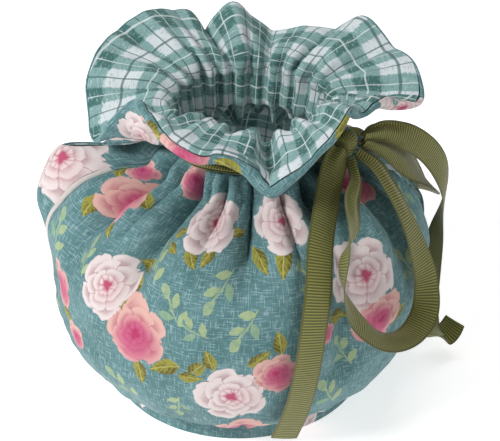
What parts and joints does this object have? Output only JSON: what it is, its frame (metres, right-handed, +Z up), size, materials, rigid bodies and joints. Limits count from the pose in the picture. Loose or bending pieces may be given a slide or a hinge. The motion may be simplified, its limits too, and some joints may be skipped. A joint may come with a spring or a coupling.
{
  "type": "tea cosy",
  "caption": "Gathered two-layer tea cosy with a spout hole, a handle slit and a ruffled collar tied with a ribbon bow.",
  "frame": {"origin": "under the middle of the whole cosy, bow included, on the surface its hem stands on", "axes": "+Z up, +X towards the handle slit and the bow, -X towards the spout hole, -Y towards the front"},
  "size_m": [0.208, 0.1818, 0.1651],
  "materials": {
    "printed_cloth": "matte printed cotton",
    "checked_lining": "matte printed cotton",
    "ribbon": "ribbed grosgrain with a slight sheen"
  },
  "bodies": {
    "root": {"outer_front": "printed_cloth", "outer_back": "printed_cloth", "lining_front": "checked_lining", "lining_back": "checked_lining", "ribbon_band": "ribbon", "ribbon_knot": "ribbon", "ribbon_front_loop": "ribbon", "ribbon_back_loop": "ribbon", "ribbon_front_tail": "ribbon", "ribbon_back_tail": "ribbon"}
  },
  "joints": []
}
